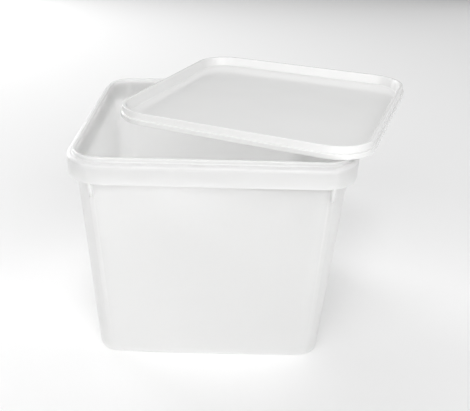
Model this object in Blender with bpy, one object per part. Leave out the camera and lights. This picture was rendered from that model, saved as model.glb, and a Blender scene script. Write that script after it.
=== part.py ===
"""Square plastic ice cream tub, empty, with its loose lid lying askew on the rim.

Metres, +Z up.  The origin is the middle of the tub's flat base.  Two closed bodies are made,
"tub" and "lid".  Each is a thin injection-moulded shell: a rounded-square ring of edges is drawn
out from station to station along its cross-section, and capped at the two ends.
"""
import math

import bmesh
import bpy
from mathutils import Matrix, Vector

MM = 0.001

# Tub: overall sizes
RIM_HALF = 100.0 * MM          # half the width over the folded rim
RIM_CORNER = 28.5 * MM         # corner radius of the folded rim
TUB_HEIGHT = 170.5 * MM
BASE_HALF = 86.7 * MM          # half the width just above the base's rounded edge
BASE_CORNER = 17.3 * MM
WALL_TOP_HALF = 93.5 * MM      # half the width of the wall where the skirt ends
WALL_TOP_CORNER = 20.0 * MM
WALL = 1.25 * MM
FLOOR = 1.4 * MM
BASE_ROUND = 4.2 * MM          # radius of the edge between base and walls
INNER_BASE_ROUND = 3.0 * MM
BASE_BULGE = 0.7 * MM          # how far the middle of each side bows out at the base

# Tub: folded rim, from the lip's top down to the skirt's free edge
LIP_HALF = 95.3 * MM           # outside of the lip
LIP_HEIGHT = 3.0 * MM          # lip above the flat of the shoulder
LIP_ROUND = 0.6 * MM
SHOULDER_ROUND = 3.0 * MM
SKIRT_HEIGHT = 11.3 * MM       # upright part of the skirt
SKIRT = 1.25 * MM              # thickness of the fold
RIM_TOP_CORNER = LIP_HALF - (WALL_TOP_HALF - WALL_TOP_CORNER)

# Tub: the small ribs under the rim, two at the back and two at the front
RIB_PLACE = 81.0 * MM          # distance of a rib from the middle of the side
RIB_THICK = 2.2 * MM
RIB_DROP = 12.0 * MM           # how far a rib reaches below the skirt
RIB_FOOT = 0.6 * MM            # the foot stands this far out from the line of the wall's top
RIB_LIFT = 0.6 * MM            # the outer end stops this far above the skirt's free edge
RIB_SIDES = (0, 2)             # quarter turns from the back to a side that has ribs

# Lid
LID_HALF = 98.4 * MM
LID_CORNER = 30.4 * MM
LID_HEIGHT = 9.0 * MM
LID_WALL = 1.1 * MM
LID_TIER = 3.8 * MM            # height of the wider lower tier
LID_STEP = 1.3 * MM            # how far the upper tier is set in
CREST_OUTER = 1.6 * MM         # the crest's two edges, measured in from the lid's edge
CREST_INNER = 4.0 * MM
RECESS_EDGE = 6.3 * MM         # foot of the recess's wall, measured in from the lid's edge
CREST_ROUND = 0.5 * MM
FOOT_ROUND = 1.4 * MM          # fillet between the recess's wall and its panel
LEDGE_ROUND = 0.4 * MM
LID_GAP = 0.3 * MM             # clearance between lip and lid
LID_PLACE = (47.3 * MM, 29.1 * MM)
LID_TURN = math.radians(-23.2)

CORNER_STEPS = 9               # straight segments in each rounded corner
SIDE_STEPS = 4                 # segments along each side, for its bulge
ROUND_STEPS = 4                # segments in a small quarter round


def rounded_square(half, radius, bulge=0.0):
    """Points of a rounded square, counter-clockwise, whose sides bow out by bulge."""
    centre = half - radius
    points = []
    for quarter in range(4):
        turn = Matrix.Rotation(quarter * math.pi / 2, 2)
        for step in range(CORNER_STEPS + 1):
            angle = step / CORNER_STEPS * math.pi / 2
            points.append(turn @ Vector((centre + radius * math.cos(angle),
                                         centre + radius * math.sin(angle))))
        for step in range(1, SIDE_STEPS):
            along = step / SIDE_STEPS
            bow = bulge * 4 * along * (1 - along)
            points.append(turn @ Vector((centre * (1 - 2 * along), half + bow)))
    return points


def quarter_round(centre_half, centre_z, radius, start, end):
    """Stations (half, z) along an arc, angles in degrees from straight outwards."""
    stations = []
    for step in range(ROUND_STEPS + 1):
        angle = math.radians(start + (end - start) * step / ROUND_STEPS)
        stations.append((centre_half + radius * math.cos(angle), centre_z + radius * math.sin(angle)))
    return stations


def loft(name, stations):
    """One closed shell through stations of (half, corner radius, z, bulge)."""
    shell = bmesh.new()
    half, radius, z, bulge = stations[0]
    corners = [shell.verts.new((x, y, z)) for x, y in rounded_square(half, radius, bulge)]
    ring = [shell.edges.new(pair) for pair in zip(corners, corners[1:] + corners[:1])]
    bmesh.ops.contextual_create(shell, geom=ring)
    for half, radius, z, bulge in stations[1:]:
        grown = bmesh.ops.extrude_edge_only(shell, edges=ring)["geom"]
        fresh = {item for item in grown if isinstance(item, bmesh.types.BMVert)}
        corners = [extruded_from(corner, fresh) for corner in corners]
        for corner, (x, y) in zip(corners, rounded_square(half, radius, bulge)):
            corner.co = (x, y, z)
        ring = [item for item in grown if isinstance(item, bmesh.types.BMEdge) and set(item.verts) <= fresh]
    bmesh.ops.contextual_create(shell, geom=ring)
    bmesh.ops.recalc_face_normals(shell, faces=shell.faces)
    return add_piece(name, shell)


def extruded_from(corner, fresh):
    """The new corner that the extrusion drew out of an old one."""
    return next(edge.other_vert(corner) for edge in corner.link_edges if edge.other_vert(corner) in fresh)


def add_piece(name, shell):
    """Hand a finished bmesh over to an object of the same name."""
    mesh = bpy.data.meshes.new(name)
    shell.to_mesh(mesh)
    shell.free()
    piece = bpy.data.objects.new(name, mesh)
    bpy.context.collection.objects.link(piece)
    return piece


def wall_at(z, inwards=0.0):
    """The tub wall's half width, corner radius and bulge at a height, or of a face inside it."""
    skirt_end = TUB_HEIGHT - LIP_HEIGHT - SHOULDER_ROUND - SKIRT_HEIGHT
    share = (z - BASE_ROUND) / (skirt_end - BASE_ROUND)
    half = BASE_HALF + (WALL_TOP_HALF - BASE_HALF) * share
    radius = BASE_CORNER + (WALL_TOP_CORNER - BASE_CORNER) * share
    bulge = BASE_BULGE * max(0.0, 1 - share)
    return half - inwards, radius - inwards, bulge


def wall_station(z, inwards=0.0):
    half, radius, bulge = wall_at(z, inwards)
    return half, radius, z, bulge


def rim_station(half, z):
    """A station of the folded rim: its corner radius runs from the lip's to the skirt's."""
    share = (half - LIP_HALF) / (RIM_HALF - LIP_HALF)
    radius = RIM_TOP_CORNER + (RIM_CORNER - RIM_TOP_CORNER) * share
    return half, radius, z, 0.0


def tub_stations():
    """Cross-section of the tub from under the base, round the rim, to the floor inside."""
    shoulder = TUB_HEIGHT - LIP_HEIGHT
    round_middle = shoulder - SHOULDER_ROUND
    skirt_end = round_middle - SKIRT_HEIGHT
    fold_half = RIM_HALF - SHOULDER_ROUND
    stations = []
    for half, z in quarter_round(BASE_HALF - BASE_ROUND, BASE_ROUND, BASE_ROUND, -90, 0):
        inset = BASE_HALF - half
        stations.append((half, BASE_CORNER - inset, z, BASE_BULGE))
    stations.append(wall_station(skirt_end))
    stations.append(wall_station(shoulder - SKIRT))
    for half, z in quarter_round(fold_half, round_middle, SHOULDER_ROUND - SKIRT, 90, 0):
        stations.append(rim_station(half, z))
    stations.append(rim_station(RIM_HALF - SKIRT, skirt_end))
    stations.append(rim_station(RIM_HALF, skirt_end))
    for half, z in quarter_round(fold_half, round_middle, SHOULDER_ROUND, 0, 90):
        stations.append(rim_station(half, z))
    stations.append(rim_station(LIP_HALF + LIP_ROUND, shoulder))
    stations.append(rim_station(LIP_HALF, shoulder + LIP_ROUND))
    for half, z in quarter_round(LIP_HALF - LIP_ROUND, TUB_HEIGHT - LIP_ROUND, LIP_ROUND, 0, 90):
        stations.append(rim_station(half, z))
    inner_half, inner_radius, _ = wall_at(TUB_HEIGHT, WALL)
    stations.append((inner_half + LIP_ROUND, inner_radius + LIP_ROUND, TUB_HEIGHT, 0.0))
    stations.append(wall_station(TUB_HEIGHT - LIP_ROUND, WALL))
    floor_edge = FLOOR + INNER_BASE_ROUND
    low_half, low_radius, low_bulge = wall_at(floor_edge, WALL)
    for half, z in quarter_round(low_half - INNER_BASE_ROUND, floor_edge, INNER_BASE_ROUND, 0, -90):
        inset = low_half - half
        stations.append((half, low_radius - inset, z, low_bulge))
    return stations


def across_corner(half, radius):
    """How far out a rounded square's corner reaches, straight out from where a rib stands."""
    centre = half - radius
    return centre + math.sqrt(radius ** 2 - (RIB_PLACE - centre) ** 2)


def rib(name, side, end):
    """A gusset on one side of the tub, between wall and skirt, tapering down to the wall."""
    shoulder = TUB_HEIGHT - LIP_HEIGHT
    round_middle = shoulder - SHOULDER_ROUND
    skirt_end = round_middle - SKIRT_HEIGHT
    low = skirt_end - RIB_DROP
    top = shoulder - SKIRT / 2
    reach = across_corner(RIM_HALF - SKIRT / 2, RIM_CORNER - SKIRT / 2)
    fold = SHOULDER_ROUND - SKIRT / 2
    outline = [
        (across_corner(*wall_at(low, WALL / 2)[:2]), low),
        (across_corner(*wall_at(top, WALL / 2)[:2]), top),
        *quarter_round(reach - fold, round_middle, fold, 90, 0),
        (reach, skirt_end + RIB_LIFT),
        (WALL_TOP_HALF + RIB_FOOT, low),
    ]
    plate = bmesh.new()
    corners = [plate.verts.new((RIB_PLACE * end - RIB_THICK / 2, out, z)) for out, z in outline]
    face = plate.faces.new(corners)
    grown = bmesh.ops.extrude_face_region(plate, geom=[face])
    moved = [item for item in grown["geom"] if isinstance(item, bmesh.types.BMVert)]
    bmesh.ops.translate(plate, verts=moved, vec=(RIB_THICK, 0, 0))
    bmesh.ops.rotate(plate, verts=plate.verts, matrix=Matrix.Rotation(side * math.pi / 2, 3, "Z"))
    bmesh.ops.recalc_face_normals(plate, faces=plate.faces)
    return add_piece(name, plate)


def softened(outline):
    """The places along a sharp outline of (inset, z, rounding), with its corners rounded."""
    path = []
    for place, (inset, z, rounding) in enumerate(outline):
        corner = Vector((inset, z))
        if not rounding:
            path.append(corner)
            continue
        back = Vector(outline[place - 1][:2]) - corner
        on = Vector(outline[place + 1][:2]) - corner
        reach = rounding / math.tan(back.angle(on) / 2)
        start = corner + back.normalized() * reach
        end = corner + on.normalized() * reach
        for step in range(ROUND_STEPS + 1):
            share = step / ROUND_STEPS
            path.append(start * (1 - share) ** 2 + corner * 2 * share * (1 - share) + end * share ** 2)
    return path


def lid_stations():
    """Cross-section of the lid from the recess's panel, over the crest, to the panel below."""
    channel_top = LID_HEIGHT - 1.5 * LID_WALL
    tier_inside = LID_TIER - LID_WALL / 2
    panel_start = RECESS_EDGE + 2 * FOOT_ROUND
    outline = [
        (panel_start, LID_WALL, 0),
        (RECESS_EDGE, LID_WALL, FOOT_ROUND),
        (CREST_INNER, LID_HEIGHT, CREST_ROUND),
        (CREST_OUTER, LID_HEIGHT, CREST_ROUND),
        (LID_STEP, LID_TIER, LEDGE_ROUND),
        (0, LID_TIER, LEDGE_ROUND),
        (0, 0, 0),
        (LID_WALL, 0, 0),
        (LID_WALL, tier_inside, 0),
        (LID_STEP + LID_WALL, tier_inside, 0),
        (CREST_OUTER + LID_WALL, channel_top, 0),
        (CREST_INNER - LID_WALL + CREST_ROUND, channel_top, 0),
        (RECESS_EDGE - LID_WALL, 0, FOOT_ROUND),
        (panel_start - LID_WALL, 0, 0),
    ]
    return [(LID_HALF - inset, LID_CORNER - inset, z, 0.0) for inset, z in softened(outline)]


def join(piece, additions):
    """Fuse the additions to the piece with one applied Boolean, then remove them."""
    group = bpy.data.collections.new(piece.name + "_additions")
    bpy.context.scene.collection.children.link(group)
    for addition in additions:
        bpy.context.collection.objects.unlink(addition)
        group.objects.link(addition)
    union = piece.modifiers.new("union", "BOOLEAN")
    union.operation = "UNION"
    union.solver = "EXACT"
    union.operand_type = "COLLECTION"
    union.collection = group
    bpy.context.view_layer.objects.active = piece
    bpy.ops.object.modifier_apply(modifier=union.name)
    for addition in additions:
        bpy.data.objects.remove(addition)
    bpy.data.collections.remove(group)


def plastic(name, colour, roughness):
    """A white polypropylene for one of the two mouldings."""
    material = bpy.data.materials.new(name)
    material.use_nodes = True
    shader = material.node_tree.nodes["Principled BSDF"]
    shader.inputs["Base Color"].default_value = (*colour, 1.0)
    shader.inputs["Roughness"].default_value = roughness
    shader.inputs["Metallic"].default_value = 0.0
    return material


def finish(piece, material):
    piece.data.materials.clear()
    piece.data.materials.append(material)
    piece.data.shade_smooth()
    piece.data.set_sharp_from_angle(angle=math.radians(35))


def make_tub():
    tub = loft("tub", tub_stations())
    ribs = [rib(f"rib_{side}_{end}", side, end) for side in RIB_SIDES for end in (-1, 1)]
    join(tub, ribs)
    finish(tub, plastic("tub_plastic", (0.86, 0.86, 0.85), 0.38))


def make_lid():
    lid = loft("lid", lid_stations())
    lid.location = (*LID_PLACE, TUB_HEIGHT + LID_GAP)
    lid.rotation_euler = (0.0, 0.0, LID_TURN)
    finish(lid, plastic("lid_plastic", (0.88, 0.88, 0.87), 0.25))


def main():
    for piece in list(bpy.data.objects):
        bpy.data.objects.remove(piece)
    make_tub()
    make_lid()


main()
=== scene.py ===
"""Looks of a square plastic ice cream tub, empty, with its loose lid lying askew on the rim.

The script is laid out as an add-on and run as a script.  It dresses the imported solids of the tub
and the lid with two finer mouldings in white polypropylene, and sets a pale studio round them.
Every size is in metres, in the frame of the solids: the origin is the middle of the tub's base.
"""
import math

import bmesh
import bpy
from bpy.props import FloatProperty, FloatVectorProperty, PointerProperty
from mathutils import Matrix, Vector


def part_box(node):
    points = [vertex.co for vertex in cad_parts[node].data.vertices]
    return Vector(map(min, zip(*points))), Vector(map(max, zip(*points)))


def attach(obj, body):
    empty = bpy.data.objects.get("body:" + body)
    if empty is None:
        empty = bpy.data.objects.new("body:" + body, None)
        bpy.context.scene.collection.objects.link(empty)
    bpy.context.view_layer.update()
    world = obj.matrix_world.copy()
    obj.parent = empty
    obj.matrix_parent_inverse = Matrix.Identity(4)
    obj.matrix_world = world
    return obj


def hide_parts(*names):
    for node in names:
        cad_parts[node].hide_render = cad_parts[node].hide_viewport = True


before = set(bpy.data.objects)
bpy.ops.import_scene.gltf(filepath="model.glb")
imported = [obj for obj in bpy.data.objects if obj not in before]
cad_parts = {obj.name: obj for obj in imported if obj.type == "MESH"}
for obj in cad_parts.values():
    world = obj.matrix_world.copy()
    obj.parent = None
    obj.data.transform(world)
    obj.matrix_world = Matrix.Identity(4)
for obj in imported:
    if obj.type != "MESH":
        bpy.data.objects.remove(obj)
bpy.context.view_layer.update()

bl_info = {
    "name": "Square Ice Cream Tub",
    "version": (1, 0, 0),
    "blender": (4, 5, 0),
    "location": "View3D > Sidebar > Tub",
    "description": "Models an empty square plastic ice cream tub with its loose lid on the rim",
    "category": "Object",
}

MM = 0.001

TUB_HIGH = Vector(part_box("tub")[1])
LID_LOW, LID_HIGH = (Vector(corner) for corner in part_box("lid"))

# How finely the mouldings are drawn
CORNER_STEPS = 14              # segments in each rounded corner of the plan
SIDE_CUTS = 11                 # cuts along each straight side
ROUND_STEPS = 5                # segments in each rounded edge of a cross-section
SEAM_STEPS = 2                 # segments in the rounded edges and seams of the ribs
HOLD = 1.08                    # a holding ring stands this many times a rounding's reach away
START = Vector((1.0, 0.5, 0))  # half width, corner radius and height of a moulding's first ring
SHARP = math.radians(40)       # the shading of edges that turn more than this stays sharp
WELD = 0.001 * MM              # vertices nearer than this are one

# Roundings of the tub's lip, as shares of its height, and of the floor inside, in wall thicknesses
LIP_TOP = 0.2
LIP_FOOT = 0.43
FLOOR_ROUND = 2.5

# Under the tub
FOOT_INSET = 9.0 * MM          # inside of the foot ring, measured in from the wall
FOOT_RECESS = 0.9 * MM
GATE_RADIUS = 2.4 * MM         # stub left by the moulding gate
GATE_HEIGHT = 0.6 * MM
GATE_ROUND = 0.1 * GATE_RADIUS
# Half width and corner radius of the stub's face and of its side, on which floor and lid close too
GATE_FACE = (0.8 * GATE_RADIUS, 0.75 * GATE_RADIUS)
GATE_SIDE = (GATE_RADIUS, 0.9 * GATE_RADIUS)

# The small ribs under the rim, two at the back and two at the front
RIB_PLACE = 81.0 * MM          # from the middle of the side
RIB_THICK = 2.2 * MM
RIB_DROP = 12.0 * MM           # below the skirt
RIB_FOOT = 0.6 * MM            # foot, out from the line of the wall's top
RIB_LIFT = 0.6 * MM            # outer end, above the skirt's free edge
RIB_ROUND = 0.25 * MM
RIB_SIDES = (0, 2)             # quarter turns from the back to a side with ribs
HALF_TURN = math.sqrt(0.5)     # sine and cosine half way round a quarter circle

# The lid's cross-section, measured in from its edge and up from its lower edge
TIER_STEP = 1.3 * MM
TIER_ROUND = 0.6 * MM
CREST_OUTER = 1.6 * MM
CREST_INNER = 4.0 * MM
RECESS_EDGE = 6.3 * MM
RECESS_ROUND = 1.4 * MM
CREST_ROUND = 0.5 * MM
EDGE_ROUND = 0.3 * MM
CHANNEL_WALL = 1.5             # plastic over the channel, in wall thicknesses

# Plastic: how strong its gloss and its reliefs are, and each pattern's scale and detail
PLASTIC_IOR = 1.49
TUB_SURFACE = {"shine": 0.5, "grain": 0.08, "ripple": 0.25}
LID_SURFACE = {"shine": 0.25, "grain": 0.12, "ripple": 0.3}
PATTERN_MIDDLE = (0.3, 0.7)    # where most of a pattern's values lie
CLOUD_PATTERN = (9.0, 1.0)     # slow change of tone
CLOUD_DEPTH = 0.004
GLOSS_PATTERN = (45.0, 4.0)    # patches of more and less gloss
GLOSS_SPREAD = 0.04
GRAIN_PATTERN = (1500.0, 2.0)  # texture of the mould
GRAIN_DEPTH = 0.03 * MM
RIPPLE_PATTERN = (22.0, 1.0)   # softly uneven walls
RIPPLE_DEPTH = 1.0 * MM
# Painted shade: skirt, lip and ribs get a darker colour in place of the shade they show
SKIRT_PAINTED_SHADE = 0.86              # painted shade: share of the walls' colour left on the skirt
LIP_PAINTED_SHADE = 0.68
RIB_PAINTED_SHADE = 0.6
CLEAR_OF_WALL = 0.5 * MM       # skirt and ribs reach at least this far out from the walls

# Studio
FLOOR_HALF = 6.0
FLOOR_GAP = 0.2 * MM
FLOOR_PARTS = 8
FLOOR_ROUGHNESS = 0.9
SENSOR = 36.0                  # width in millimetres
NEAREST = 10.0 * MM            # the camera sees nothing nearer
LIGHT_AWAY = 2.0               # every light stands this far from the middle of the tub
BROAD = 1.4                    # widths of the lights
MEDIUM = 1.0
SMALL = 0.5
LIGHTS = {                     # degrees round to the right, degrees up from the floor, width
    "front_light": (0, 36, BROAD),
    "left_light": (-40, 28, BROAD),
    "right_light": (30, 28, BROAD),
    "edge_light": (0, 66, SMALL),
    "back_light": (180, 50, BROAD),
    "wall_light": (-135, 14, MEDIUM),
    "far_light": (135, 14, MEDIUM),
}
DIFFUSE_BOUNCES = 16           # thin walls pass light on many times
ALL_BOUNCES = 24


def length(label, about, default):
    """A length that a user may change."""
    return FloatProperty(name=label, description=about, default=default, min=0.0, unit="LENGTH",
                         precision=4)


def watts(label, about, default):
    """The power of a light."""
    return FloatProperty(name=label, description=about, default=default, min=0.0, unit="POWER")


class TubSettings(bpy.types.PropertyGroup):
    """Sizes and finish of the tub."""

    base_width: length("Base Width", "Width just above the rounded edge of the base", 173.4 * MM)
    base_corner: length("Base Corner", "Corner radius of the walls at the base", 17.3 * MM)
    base_round: length("Base Rounding", "Radius of the edge between base and walls", 4.2 * MM)
    base_bow: length("Base Bow", "How far the middle of each side bows out at the base", 0.7 * MM)
    top_width: length("Wall Width", "Width of the walls where the skirt ends", 187.0 * MM)
    top_corner: length("Wall Corner", "Corner radius of the walls where the skirt ends", 20.0 * MM)
    wall: length("Wall Thickness", "Thickness of walls and floor", 1.25 * MM)
    rim_corner: length("Rim Corner", "Corner radius of the folded rim", 28.5 * MM)
    lip_width: length("Lip Width", "Width over the upstanding lip", 190.6 * MM)
    lip_height: length("Lip Height", "Height of the lip above the shoulder", 3.0 * MM)
    shoulder_round: length("Shoulder Rounding", "Radius between shoulder and skirt", 3.0 * MM)
    skirt_height: length("Skirt Height", "Upright part of the skirt", 11.3 * MM)
    colour: FloatVectorProperty(name="Colour", description="Colour of the plastic", subtype="COLOR",
                                size=3, min=0.0, max=1.0, default=(0.975, 0.975, 0.97))
    roughness: FloatProperty(name="Roughness", description="How matt the surface is", subtype="FACTOR",
                             min=0.0, max=1.0, default=0.36)
    depth: length("Light Depth", "How deep light goes into the plastic before it scatters", 7.0 * MM)


class LidSettings(bpy.types.PropertyGroup):
    """Sizes and finish of the lid."""

    corner: length("Corner", "Corner radius of the lid's edge", 30.4 * MM)
    tier: length("Lower Tier", "Height of the wider lower tier", 3.8 * MM)
    wall: length("Wall Thickness", "Thickness of the lid", 1.1 * MM)
    turn: FloatProperty(name="Turn", description="How far the lid is turned from square",
                        subtype="ANGLE", default=math.radians(-23.2))
    # Painted shade: the lid's plastic is greyer than the tub's same plastic, standing in for the dimmer
    # light on the lid
    colour: FloatVectorProperty(name="Colour", description="Colour of the plastic", subtype="COLOR",
                                size=3, min=0.0, max=1.0, default=(0.85, 0.85, 0.845))
    roughness: FloatProperty(name="Roughness", description="How matt the surface is", subtype="FACTOR",
                             min=0.0, max=1.0, default=0.16)


class StageSettings(bpy.types.PropertyGroup):
    """Camera, lights and floor."""

    camera_place: FloatVectorProperty(name="Camera", description="Place of the camera", size=3,
                                      subtype="TRANSLATION", unit="LENGTH",
                                      default=(0.0007, -0.4428, 0.3223))
    camera_side: FloatProperty(name="Bearing", description="How far the camera stands round to the right",
                               subtype="ANGLE", default=math.radians(0.6))
    camera_tilt: FloatProperty(name="Tilt", description="How far the camera looks down", subtype="ANGLE",
                               default=math.radians(25.78))
    camera_roll: FloatProperty(name="Roll", description="How far the camera leans", subtype="ANGLE",
                               default=math.radians(1.07))
    camera_lens: FloatProperty(name="Lens", description="Focal length in millimetres on a 36 mm sensor",
                               min=1.0, default=44.87)
    shift_across: FloatProperty(name="Shift Across", description="Lens shift, in sensor widths",
                                default=0.0588)
    shift_up: FloatProperty(name="Shift Up", description="Lens shift, in sensor widths", default=-0.0480)
    front_light: watts("Front Light", "Broad light over the camera", 3.5)
    left_light: watts("Left Light", "Broad light from the front left", 12.5)
    right_light: watts("Right Light", "Broad light from the front right", 19.0)
    edge_light: watts("Edge Light", "High light that gleams on rounded edges", 6.0)
    back_light: watts("Back Light", "Broad high light from behind", 12.0)
    wall_light: watts("Wall Light", "Low light from the far left that shines through the walls", 19.5)
    far_light: watts("Far Light", "Low light from the far right", 2.5)
    sky: FloatProperty(name="Surroundings", description="Strength of the even light all round",
                       min=0.0, default=0.165)
    floor_colour: FloatVectorProperty(name="Floor", description="Colour of the floor", subtype="COLOR",
                                      size=3, min=0.0, max=1.0, default=(0.9, 0.9, 0.9))


# Modelling

def softened(outline):
    """Stations along an outline of (half width, corner radius, height, rounding), edges rounded."""
    path = []
    for place, (*here, rounding) in enumerate(outline):
        here = Vector(here)
        if not rounding:
            path.append(here)
            continue
        back = Vector(outline[place - 1][:3]) - here
        on = Vector(outline[place + 1][:3]) - here
        back_flat, on_flat = (Vector((arm.x, arm.z)) for arm in (back, on))
        back, on = back / back_flat.length, on / on_flat.length
        angle = back_flat.angle(on_flat)
        sweep = math.pi - angle
        reach = rounding / math.tan(angle / 2)
        centre = rounding / math.sin(angle)
        path.append(here + back * reach * HOLD)
        for step in range(ROUND_STEPS + 1):
            share = step / ROUND_STEPS
            before = math.sin((1 - share) * sweep) / math.sin(sweep)
            after = math.sin(share * sweep) / math.sin(sweep)
            along_back = centre + before * (reach - centre) - after * centre
            along_on = centre + after * (reach - centre) - before * centre
            path.append(here + back * along_back + on * along_on)
        path.append(here + on * reach * HOLD)
    return path


def reshape(corners, old, new):
    """Give a ring of vertices another half width, corner radius and height."""
    old_core, new_core = old.x - old.y, new.x - new.y
    for vert in corners:
        for axis in (0, 1):
            core = max(-old_core, min(old_core, vert.co[axis]))
            arm = vert.co[axis] - core
            vert.co[axis] = core * new_core / old_core + arm * new.y / old.y
        vert.co.z = new.z


def moulding(outline):
    """A closed bmesh drawn out ring by ring along an outline, from one flat cap to the other."""
    stations = softened(outline)
    shell = bmesh.new()
    square = bmesh.ops.create_grid(shell, x_segments=1, y_segments=1, size=START.x)
    bmesh.ops.bevel(shell, geom=square["verts"], offset=START.y, segments=CORNER_STEPS, profile=0.5,
                    affect="VERTICES", material=-1)
    sides = [edge for edge in shell.edges if edge.calc_length() > START.y]
    bmesh.ops.subdivide_edges(shell, edges=sides, cuts=SIDE_CUTS)
    ring = list(shell.edges)
    reshape(shell.verts, START, stations[0])
    for old, new in zip(stations, stations[1:]):
        grown = bmesh.ops.extrude_edge_only(shell, edges=ring)["geom"]
        corners = {item for item in grown if isinstance(item, bmesh.types.BMVert)}
        ring = [item for item in grown
                if isinstance(item, bmesh.types.BMEdge) and corners.issuperset(item.verts)]
        reshape(corners, old, new)
    bmesh.ops.contextual_create(shell, geom=ring)
    bmesh.ops.recalc_face_normals(shell, faces=shell.faces)
    return shell


def add_piece(name, shell, material):
    """Hand a finished bmesh over to a smooth-shaded object."""
    mesh = bpy.data.meshes.new(name)
    shell.to_mesh(mesh)
    shell.free()
    piece = bpy.data.objects.new(name, mesh)
    bpy.context.collection.objects.link(piece)
    if material:
        mesh.materials.append(material)
    mesh.shade_smooth()
    return piece


# Tub

def rim_heights(tub):
    """Heights of the shoulder and of the skirt's free edge."""
    shoulder = TUB_HIGH.z - tub.lip_height
    return shoulder, shoulder - tub.shoulder_round - tub.skirt_height


def wall_at(tub, z, inwards=0.0):
    """The wall's half width, corner radius and height, or those of a face inside it."""
    _, skirt_end = rim_heights(tub)
    share = (z - tub.base_round) / (skirt_end - tub.base_round)
    half = tub.base_width / 2 + (tub.top_width - tub.base_width) / 2 * share
    corner = tub.base_corner + (tub.top_corner - tub.base_corner) * share
    return half - inwards, corner - inwards, z


def rim_at(tub, half, z):
    """A place on the folded rim, whose corners grow rounder from the lip out to the skirt."""
    lip_half = tub.lip_width / 2
    lip_corner = lip_half - (tub.top_width / 2 - tub.top_corner)
    share = (half - lip_half) / (TUB_HIGH.x - lip_half)
    return half, lip_corner + (tub.rim_corner - lip_corner) * share, z


def tub_outline(tub):
    """The tub's cross-section, from the gate's stub under the base round to the floor inside."""
    top, wall, rim_half = TUB_HIGH.z, tub.wall, TUB_HIGH.x
    shoulder, skirt_end = rim_heights(tub)
    floor = FOOT_RECESS + wall
    lip_round = LIP_TOP * tub.lip_height
    lip_foot = LIP_FOOT * tub.lip_height
    return [
        (*GATE_FACE, FOOT_RECESS - GATE_HEIGHT, 0),
        (*GATE_SIDE, FOOT_RECESS - GATE_HEIGHT, GATE_ROUND),
        (*GATE_SIDE, FOOT_RECESS, GATE_ROUND),
        (*wall_at(tub, 0, FOOT_INSET + FOOT_RECESS)[:2], FOOT_RECESS, EDGE_ROUND),
        (*wall_at(tub, 0, FOOT_INSET)[:2], 0, EDGE_ROUND),
        (*wall_at(tub, 0), tub.base_round),
        (*wall_at(tub, shoulder - wall), EDGE_ROUND),
        (*rim_at(tub, rim_half - wall, shoulder - wall), tub.shoulder_round - wall),
        (*rim_at(tub, rim_half - wall, skirt_end), EDGE_ROUND),
        (*rim_at(tub, rim_half, skirt_end), EDGE_ROUND),
        (*rim_at(tub, rim_half, shoulder), tub.shoulder_round),
        (*rim_at(tub, tub.lip_width / 2, shoulder), lip_foot),
        (*rim_at(tub, tub.lip_width / 2, top), lip_round),
        (*wall_at(tub, top, wall), lip_round),
        (*wall_at(tub, shoulder, wall), 0),
        (*wall_at(tub, floor, wall), FLOOR_ROUND * wall),
        (*GATE_SIDE, floor, 0),
    ]


def bow_sides(shell, tub):
    """Let the sides bow out a little, most at the base and not at all at the rim."""
    _, skirt_end = rim_heights(tub)
    for vert in shell.verts:
        fade = max(0.0, 1 - vert.co.z / skirt_end)
        half, corner, _ = wall_at(tub, vert.co.z)
        for across, out in ((0, 1), (1, 0)):
            along = min(1.0, abs(vert.co[across]) / (half - corner))
            reach = min(1.0, abs(vert.co[out]) / half)
            vert.co[out] += math.copysign(tub.base_bow * fade * (1 - along ** 2) * reach, vert.co[out])


def across_corner(half, corner):
    """How far out a rounded square's corner reaches, straight out from where a rib stands."""
    core = half - corner
    return core + math.sqrt(corner ** 2 - (RIB_PLACE - core) ** 2)


def rib(tub, side, end):
    """A gusset on one side of the tub, between wall and skirt, tapering down to the wall."""
    shoulder, skirt_end = rim_heights(tub)
    round_middle = shoulder - tub.shoulder_round
    low = skirt_end - RIB_DROP
    top = shoulder - tub.wall / 2
    reach = across_corner(TUB_HIGH.x - tub.wall / 2, tub.rim_corner - tub.wall / 2)
    fold = tub.shoulder_round - tub.wall / 2
    outline = [
        (across_corner(*wall_at(tub, low, tub.wall / 2)[:2]), low),
        (across_corner(*wall_at(tub, top, tub.wall / 2)[:2]), top),
        (reach - fold, top),
        (reach - fold + fold * HALF_TURN, round_middle + fold * HALF_TURN),
        (reach, round_middle),
        (reach, skirt_end + RIB_LIFT),
        (tub.top_width / 2 + RIB_FOOT, low),
    ]
    plate = bmesh.new()
    corners = [plate.verts.new((RIB_PLACE * end - RIB_THICK / 2, out, z)) for out, z in outline]
    face = plate.faces.new(corners)
    grown = bmesh.ops.extrude_face_region(plate, geom=[face])
    moved = [item for item in grown["geom"] if isinstance(item, bmesh.types.BMVert)]
    bmesh.ops.translate(plate, verts=moved, vec=(RIB_THICK, 0, 0))
    bmesh.ops.rotate(plate, verts=plate.verts, matrix=Matrix.Rotation(side * math.pi / 2, 3, "Z"))
    bmesh.ops.recalc_face_normals(plate, faces=plate.faces)
    bmesh.ops.bevel(plate, geom=plate.edges, offset=RIB_ROUND, segments=SEAM_STEPS, profile=0.5,
                    affect="EDGES", material=-1)
    for face in plate.faces:
        face.material_index = 1
    return add_piece(f"rib_{side}_{end}", plate, None)


def join(piece, additions):
    """Fuse the additions to the piece with one applied Boolean, then remove them."""
    group = bpy.data.collections.new(piece.name + "_additions")
    bpy.context.scene.collection.children.link(group)
    for addition in additions:
        bpy.context.collection.objects.unlink(addition)
        group.objects.link(addition)
    union = piece.modifiers.new("union", "BOOLEAN")
    union.operation = "UNION"
    union.solver = "EXACT"
    union.operand_type = "COLLECTION"
    union.collection = group
    union.material_mode = "INDEX"
    bpy.context.view_layer.objects.active = piece
    bpy.ops.object.modifier_apply(modifier=union.name)
    for addition in additions:
        bpy.data.objects.remove(addition)
    bpy.data.collections.remove(group)


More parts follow.
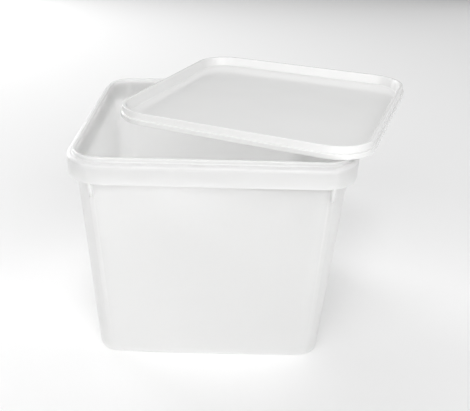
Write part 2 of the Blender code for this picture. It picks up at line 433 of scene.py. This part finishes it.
def soften_seams(piece):
    """Round the seams where the joined additions meet the piece, and give it one material again."""
    shell = bmesh.new()
    shell.from_mesh(piece.data)
    bmesh.ops.remove_doubles(shell, verts=shell.verts, dist=WELD)
    seams = [edge for edge in shell.edges if edge.is_manifold
             and edge.link_faces[0].material_index != edge.link_faces[1].material_index]
    bmesh.ops.bevel(shell, geom=seams, offset=RIB_ROUND, segments=SEAM_STEPS, profile=0.5,
                    affect="EDGES", material=-1, clamp_overlap=True)
    for face in shell.faces:
        face.material_index = 0
        face.smooth = True
    shell.to_mesh(piece.data)
    shell.free()
    piece.data.set_sharp_from_angle(angle=SHARP)


# Lid

def lid_outline(lid, half):
    """The lid's cross-section, from the middle of the recess over the crest to its underside."""
    height = LID_HIGH.z - LID_LOW.z
    wall = lid.wall
    channel_top = height - CHANNEL_WALL * wall
    tier_inside = lid.tier - wall / 2
    section = [
        (RECESS_EDGE, wall, RECESS_ROUND),
        (CREST_INNER, height, CREST_ROUND),
        (CREST_OUTER, height, CREST_ROUND),
        (TIER_STEP, lid.tier, EDGE_ROUND),
        (0, lid.tier, TIER_ROUND),
        (0, 0, EDGE_ROUND),
        (wall, 0, EDGE_ROUND),
        (wall, tier_inside, EDGE_ROUND),
        (TIER_STEP + wall, tier_inside, EDGE_ROUND),
        (CREST_OUTER + wall, channel_top, 0),
        (CREST_INNER - wall + CREST_ROUND, channel_top, 0),
        (RECESS_EDGE - wall, 0, RECESS_ROUND),
    ]
    rings = [(half - inset, lid.corner - inset, z, rounding) for inset, z, rounding in section]
    return [(*GATE_SIDE, wall, 0), *rings, (*GATE_SIDE, 0, 0)]


def lid_half(lid):
    """Half the lid's width, from the width that it spans once it is turned."""
    spread = abs(math.cos(lid.turn)) + abs(math.sin(lid.turn))
    return ((LID_HIGH.x - LID_LOW.x) / 2 - lid.corner) / spread + lid.corner


# Plastic

def map_range(nodes, low, high):
    """Spread a pattern's middle over a range of values."""
    spread = nodes.new("ShaderNodeMapRange")
    spread.inputs["From Min"].default_value, spread.inputs["From Max"].default_value = PATTERN_MIDDLE
    spread.inputs["To Min"].default_value = low
    spread.inputs["To Max"].default_value = high
    return spread


def noise(nodes, links, place, scale, detail):
    """A noise pattern on the piece's own coordinates."""
    pattern = nodes.new("ShaderNodeTexNoise")
    pattern.inputs["Scale"].default_value = scale
    pattern.inputs["Detail"].default_value = detail
    links.new(place, pattern.inputs["Vector"])
    return pattern.outputs["Fac"]


def bump(nodes, links, height, strength, depth):
    """A relief of a given depth, made from a pattern."""
    relief = nodes.new("ShaderNodeBump")
    relief.inputs["Strength"].default_value = strength
    relief.inputs["Distance"].default_value = depth
    links.new(height, relief.inputs["Height"])
    return relief


def polypropylene(name, colour, roughness, shine, grain, ripple, depth=0.0):
    """White moulded plastic: cloudy in tone, uneven in gloss, finely grained and softly rippled.

    Light goes into it as far as the depth; without one it is opaque.
    """
    material = bpy.data.materials.new(name)
    material.use_nodes = True
    nodes, links = material.node_tree.nodes, material.node_tree.links
    shader = nodes["Principled BSDF"]
    shader.inputs["IOR"].default_value = PLASTIC_IOR
    shader.inputs["Specular IOR Level"].default_value = shine
    if depth:
        shader.inputs["Subsurface Weight"].default_value = 1.0
        shader.inputs["Subsurface Radius"].default_value = (1.0, 1.0, 1.0)
        shader.inputs["Subsurface Scale"].default_value = depth
    place = nodes.new("ShaderNodeTexCoord").outputs["Object"]

    tone = map_range(nodes, 0.0, 1.0)
    links.new(noise(nodes, links, place, *CLOUD_PATTERN), tone.inputs["Value"])
    blend = nodes.new("ShaderNodeMix")
    blend.data_type = "RGBA"
    for side, factor in (("A", 1 - CLOUD_DEPTH), ("B", 1 + CLOUD_DEPTH)):
        blend.inputs[side].default_value = (*(min(1.0, channel * factor) for channel in colour), 1.0)
    links.new(tone.outputs["Result"], blend.inputs["Factor"])
    links.new(blend.outputs["Result"], shader.inputs["Base Color"])

    gloss = map_range(nodes, roughness - GLOSS_SPREAD, roughness + GLOSS_SPREAD)
    links.new(noise(nodes, links, place, *GLOSS_PATTERN), gloss.inputs["Value"])
    links.new(gloss.outputs["Result"], shader.inputs["Roughness"])

    fine = bump(nodes, links, noise(nodes, links, place, *GRAIN_PATTERN), grain, GRAIN_DEPTH)
    wide = bump(nodes, links, noise(nodes, links, place, *RIPPLE_PATTERN), ripple, RIPPLE_DEPTH)
    links.new(fine.outputs["Normal"], wide.inputs["Normal"])
    links.new(wide.outputs["Normal"], shader.inputs["Normal"])
    return material


def mark_painted_shade(piece, tub):
    """Record on each vertex a painted shade that darkens the plastic's colour a little on lip, skirt and
    ribs.
    """
    painted_shades = piece.data.attributes.new("tone", "FLOAT", "POINT")
    core = tub.top_width / 2 - tub.top_corner
    shoulder, skirt_end = rim_heights(tub)
    for vert, tone in zip(piece.data.vertices, painted_shades.data):
        out = math.hypot(*(max(0.0, abs(along) - core) for along in vert.co.xy))
        height = vert.co.z
        tone.value = 1.0
        if height > shoulder:
            # painted shade on the lip, growing from the shoulder up to its top
            tone.value += (LIP_PAINTED_SHADE - 1) * min(1.0, (height - shoulder) / (LIP_FOOT * tub.lip_height))
        # painted shade on the skirt, and deeper on the ribs below it
        elif out > tub.top_corner + CLEAR_OF_WALL and height < shoulder - tub.shoulder_round / 2:
            tone.value = SKIRT_PAINTED_SHADE if height > skirt_end - EDGE_ROUND else RIB_PAINTED_SHADE


def apply_painted_shade(material):
    """Multiply the plastic's colour by the painted shade recorded on the vertices."""
    nodes, links = material.node_tree.nodes, material.node_tree.links
    colour = nodes["Principled BSDF"].inputs["Base Color"]
    # the attribute holds the painted shade of lip, skirt and ribs
    tone = nodes.new("ShaderNodeAttribute")
    tone.attribute_name = "tone"
    product = nodes.new("ShaderNodeMix")
    product.data_type = "RGBA"
    product.blend_type = "MULTIPLY"
    product.inputs["Factor"].default_value = 1.0
    links.new(colour.links[0].from_socket, product.inputs["A"])
    links.new(tone.outputs["Fac"], product.inputs["B"])
    links.new(product.outputs["Result"], colour)


# Stage

def soft_light(name, bearing, height, width, power):
    """A square area light turned to the middle of the tub, placed by its two angles."""
    lamp = bpy.data.lights.new(name, "AREA")
    lamp.size = width
    lamp.energy = power
    light = bpy.data.objects.new(name, lamp)
    away = Vector((0, -LIGHT_AWAY, 0))
    away.rotate(Matrix.Rotation(math.radians(-height), 3, "X"))
    away.rotate(Matrix.Rotation(math.radians(bearing), 3, "Z"))
    light.location = Vector((0, 0, TUB_HIGH.z / 2)) + away
    light.rotation_euler = (-away).to_track_quat("-Z", "Y").to_euler()
    bpy.context.collection.objects.link(light)


def make_floor(colour):
    """A wide plain floor under the tub."""
    sheet = bmesh.new()
    bmesh.ops.create_grid(sheet, x_segments=FLOOR_PARTS, y_segments=FLOOR_PARTS, size=FLOOR_HALF,
                          matrix=Matrix.Translation((0, 0, -FLOOR_GAP)))
    material = bpy.data.materials.new("pale_floor")
    material.use_nodes = True
    shader = material.node_tree.nodes["Principled BSDF"]
    shader.inputs["Base Color"].default_value = (*colour, 1.0)
    shader.inputs["Roughness"].default_value = FLOOR_ROUGHNESS
    add_piece("floor", sheet, material)


def make_camera(stage):
    """The camera, looking down on the front with its lens shifted."""
    camera = bpy.data.objects.new("camera", bpy.data.cameras.new("camera"))
    camera.data.sensor_width = SENSOR
    camera.data.lens = stage.camera_lens
    camera.data.shift_x = stage.shift_across
    camera.data.shift_y = stage.shift_up
    camera.data.clip_start = NEAREST
    turn = Matrix.Rotation(stage.camera_side, 3, "Z")
    turn @= Matrix.Rotation(math.pi / 2 - stage.camera_tilt, 3, "X")
    turn @= Matrix.Rotation(stage.camera_roll, 3, "Z")
    camera.location = stage.camera_place
    camera.rotation_euler = turn.to_euler()
    bpy.context.collection.objects.link(camera)
    bpy.context.scene.camera = camera


def make_sky(strength):
    """Even white light all round."""
    world = bpy.data.worlds.new("studio")
    world.use_nodes = True
    backdrop = world.node_tree.nodes["Background"]
    backdrop.inputs["Color"].default_value = (1.0, 1.0, 1.0, 1.0)
    backdrop.inputs["Strength"].default_value = strength
    bpy.context.scene.world = world


def set_exposure(scene):
    """White stays white, and light passes on through the thin walls."""
    scene.view_settings.view_transform = "Standard"
    scene.cycles.diffuse_bounces = DIFFUSE_BOUNCES
    scene.cycles.max_bounces = ALL_BOUNCES


# Operators

class OBJECT_OT_make_ice_cream_tub(bpy.types.Operator):
    """Model the open tub with its folded rim, ribs and foot ring"""

    bl_idname = "object.make_ice_cream_tub"
    bl_label = "Make Tub"

    def execute(self, context):
        tub = context.scene.tub_settings
        shell = moulding(tub_outline(tub))
        bow_sides(shell, tub)
        plastic = polypropylene("tub_plastic", tub.colour, tub.roughness, **TUB_SURFACE, depth=tub.depth)
        piece = add_piece("tub_moulding", shell, plastic)
        ribs = [rib(tub, side, end) for side in RIB_SIDES for end in (-1, 1)]
        join(piece, ribs)
        soften_seams(piece)
        # paint shade into the colour of lip, skirt and ribs
        mark_painted_shade(piece, tub)
        apply_painted_shade(plastic)
        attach(piece, "root")
        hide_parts("tub")
        return {"FINISHED"}


class OBJECT_OT_make_tub_lid(bpy.types.Operator):
    """Model the loose lid and lay it askew on the rim"""

    bl_idname = "object.make_tub_lid"
    bl_label = "Make Lid"

    def execute(self, context):
        lid = context.scene.lid_settings
        shell = moulding(lid_outline(lid, lid_half(lid)))
        bmesh.ops.rotate(shell, verts=shell.verts, matrix=Matrix.Rotation(lid.turn, 3, "Z"))
        middle = (LID_LOW + LID_HIGH) / 2
        bmesh.ops.translate(shell, verts=shell.verts, vec=(middle.x, middle.y, LID_LOW.z))
        plastic = polypropylene("lid_plastic", lid.colour, lid.roughness, **LID_SURFACE)
        piece = add_piece("lid_moulding", shell, plastic)
        piece.data.set_sharp_from_angle(angle=SHARP)
        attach(piece, "root")
        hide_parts("lid")
        return {"FINISHED"}


class OBJECT_OT_set_tub_stage(bpy.types.Operator):
    """Set the pale floor, soft lights, surroundings and camera"""

    bl_idname = "object.set_tub_stage"
    bl_label = "Set Stage"

    def execute(self, context):
        stage = context.scene.stage_settings
        make_floor(stage.floor_colour)
        make_sky(stage.sky)
        make_camera(stage)
        for name, (bearing, height, width) in LIGHTS.items():
            soft_light(name, bearing, height, width, getattr(stage, name))
        set_exposure(context.scene)
        return {"FINISHED"}


class VIEW3D_PT_ice_cream_tub(bpy.types.Panel):
    """Settings and steps of the tub"""

    bl_label = "Square Ice Cream Tub"
    bl_space_type = "VIEW_3D"
    bl_region_type = "UI"
    bl_category = "Tub"

    def draw(self, context):
        steps = ((context.scene.tub_settings, OBJECT_OT_make_ice_cream_tub),
                 (context.scene.lid_settings, OBJECT_OT_make_tub_lid),
                 (context.scene.stage_settings, OBJECT_OT_set_tub_stage))
        for settings, step in steps:
            box = self.layout.box()
            for value in settings.__annotations__:
                box.prop(settings, value)
            box.operator(step.bl_idname)


CLASSES = (
    TubSettings,
    LidSettings,
    StageSettings,
    OBJECT_OT_make_ice_cream_tub,
    OBJECT_OT_make_tub_lid,
    OBJECT_OT_set_tub_stage,
    VIEW3D_PT_ice_cream_tub,
)


def register():
    for cls in CLASSES:
        bpy.utils.register_class(cls)
    bpy.types.Scene.tub_settings = PointerProperty(type=TubSettings)
    bpy.types.Scene.lid_settings = PointerProperty(type=LidSettings)
    bpy.types.Scene.stage_settings = PointerProperty(type=StageSettings)


def unregister():
    del bpy.types.Scene.stage_settings
    del bpy.types.Scene.lid_settings
    del bpy.types.Scene.tub_settings
    for cls in reversed(CLASSES):
        bpy.utils.unregister_class(cls)


def main():
    """Make tub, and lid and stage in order."""
    register()
    bpy.ops.object.make_ice_cream_tub()
    bpy.ops.object.make_tub_lid()
    bpy.ops.object.set_tub_stage()


if __name__ == "__main__":
    main()
